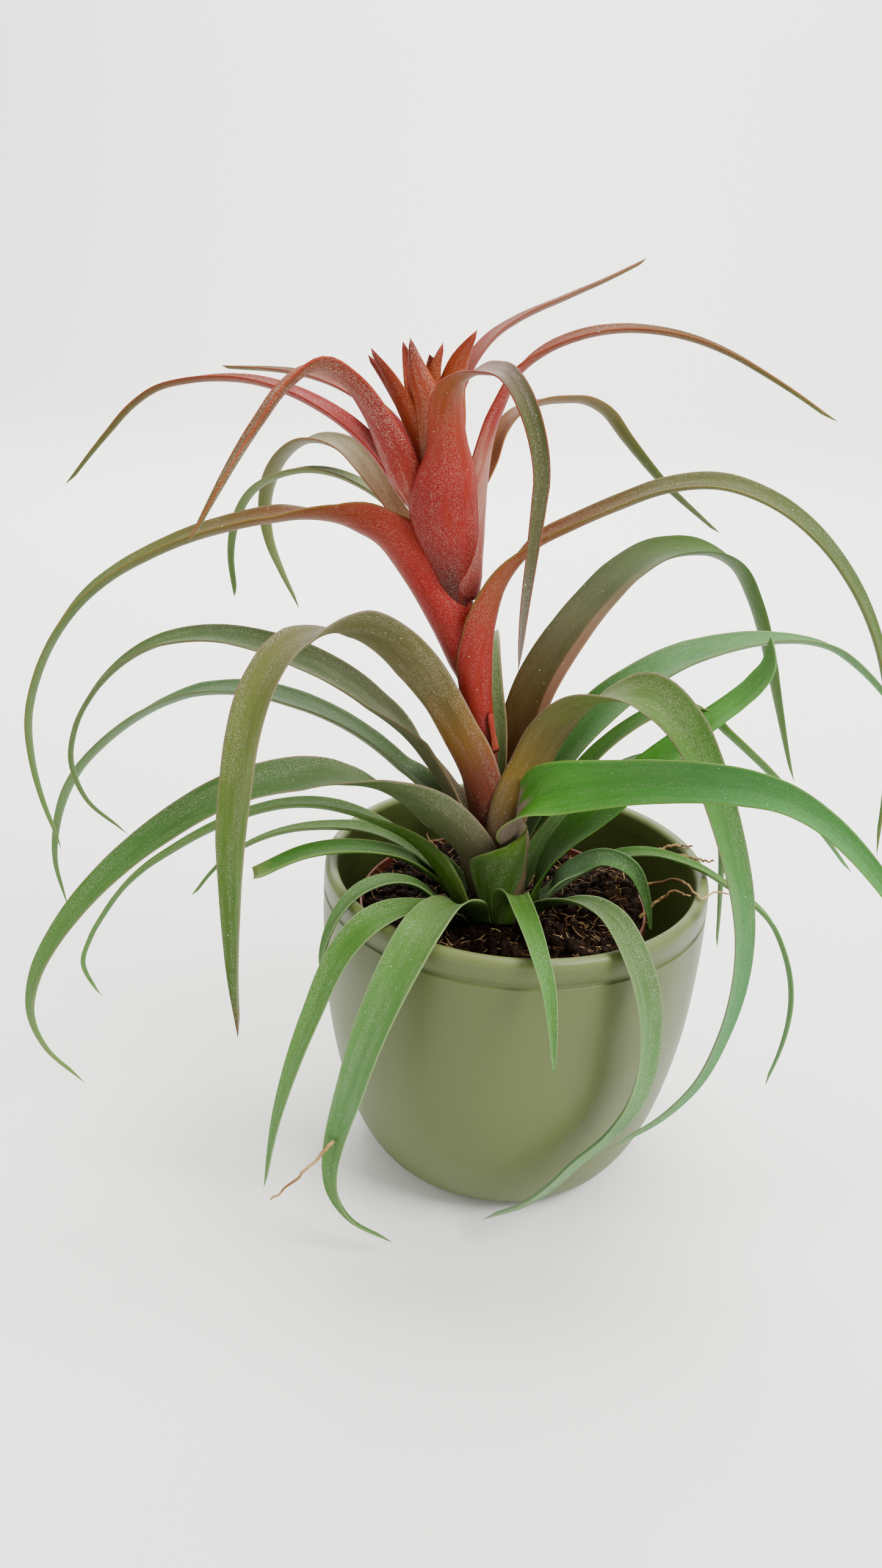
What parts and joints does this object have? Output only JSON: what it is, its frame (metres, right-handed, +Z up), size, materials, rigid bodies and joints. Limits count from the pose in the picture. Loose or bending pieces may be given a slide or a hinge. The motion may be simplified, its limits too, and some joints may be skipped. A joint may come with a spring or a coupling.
{
  "type": "potted air plant",
  "caption": "Potted bromeliad with arching channelled green leaves, a leaning red and orange flower stem, peat in a nursery pot and a rounded sage green glazed pot.",
  "frame": {"origin": "middle of the glazed pot's flat foot, on the surface it stands on", "axes": "+Z up, +X to the right as the pot is looked at from its front, -Y towards the viewer"},
  "size_m": [0.3533, 0.1966, 0.326],
  "materials": {
    "glaze": "sage green satin glaze",
    "nursery_plastic": "terracotta brown thin plastic",
    "peat": "dark brown moist peat with coir fibres",
    "stem": "dry brown stem, hidden by the sheaths",
    "leaf_green": "fleshy green leaf, satin, with a fine silver bloom",
    "leaf_silver": "fleshy grey-green leaf, satin, with a silver bloom",
    "leaf_olive": "fleshy olive leaf, satin, pinkish at its sheath",
    "leaf_sunset": "fleshy leaf, red at its sheath, then orange, then olive green",
    "leaf_flame": "fleshy coral red leaf, orange and olive towards its tip",
    "root": "dry tan root or straw"
  },
  "bodies": {
    "root": {"glazed_pot": "glaze", "nursery_pot": "nursery_plastic", "peat": "peat", "stem": "stem", "sunset_leaf_right": "leaf_sunset", "sunset_leaf_left": "leaf_sunset", "flame_leaf_front": "leaf_flame", "thin_leaf_back": "leaf_green", "olive_leaf_back": "leaf_olive", "flame_leaf_left_front": "leaf_flame", "flame_leaf_right": "leaf_flame", "flame_leaf_left": "leaf_flame", "flame_leaf_back": "leaf_flame", "flame_leaf_left_back": "leaf_flame", "flame_leaf_top": "leaf_flame", "crown_leaf_front": "leaf_olive", "back_leaf_tall": "leaf_olive", "arch_leaf_right_tall": "leaf_olive", "arch_leaf_left_upper": "leaf_olive", "arch_leaf_right_front": "leaf_olive", "arch_leaf_right_upper": "leaf_green", "arch_leaf_left_lower": "leaf_silver", "broad_leaf_left": "leaf_green", "broad_leaf_right": "leaf_green", "slim_leaf_right": "leaf_green", "back_leaf_low": "leaf_green", "cut_leaf_crown": "leaf_silver", "low_leaf_left": "leaf_green", "thin_leaf_right": "leaf_silver", "curled_leaf_right": "leaf_green", "slim_leaf_left": "leaf_green", "cut_leaf_left": "leaf_green", "rim_leaf_front": "leaf_green", "rim_leaf_far_right": "leaf_green", "short_leaf_right": "leaf_silver", "rim_leaf_right": "leaf_silver", "rim_leaf_middle": "leaf_green", "rim_leaf_left_small": "leaf_silver", "rim_leaf_left": "leaf_green", "head_bract_middle": "leaf_flame", "head_bract_back": "leaf_flame", "head_bract_right": "leaf_flame", "head_bract_left": "leaf_flame", "head_bract_left_front": "leaf_flame", "head_bract_front": "leaf_flame", "head_bract_far_right": "leaf_flame", "red_scale": "leaf_flame", "root_right": "root", "root_right_front": "root", "straw_right": "root", "straw_right_front": "root", "root_thread": "root"}
  },
  "joints": []
}
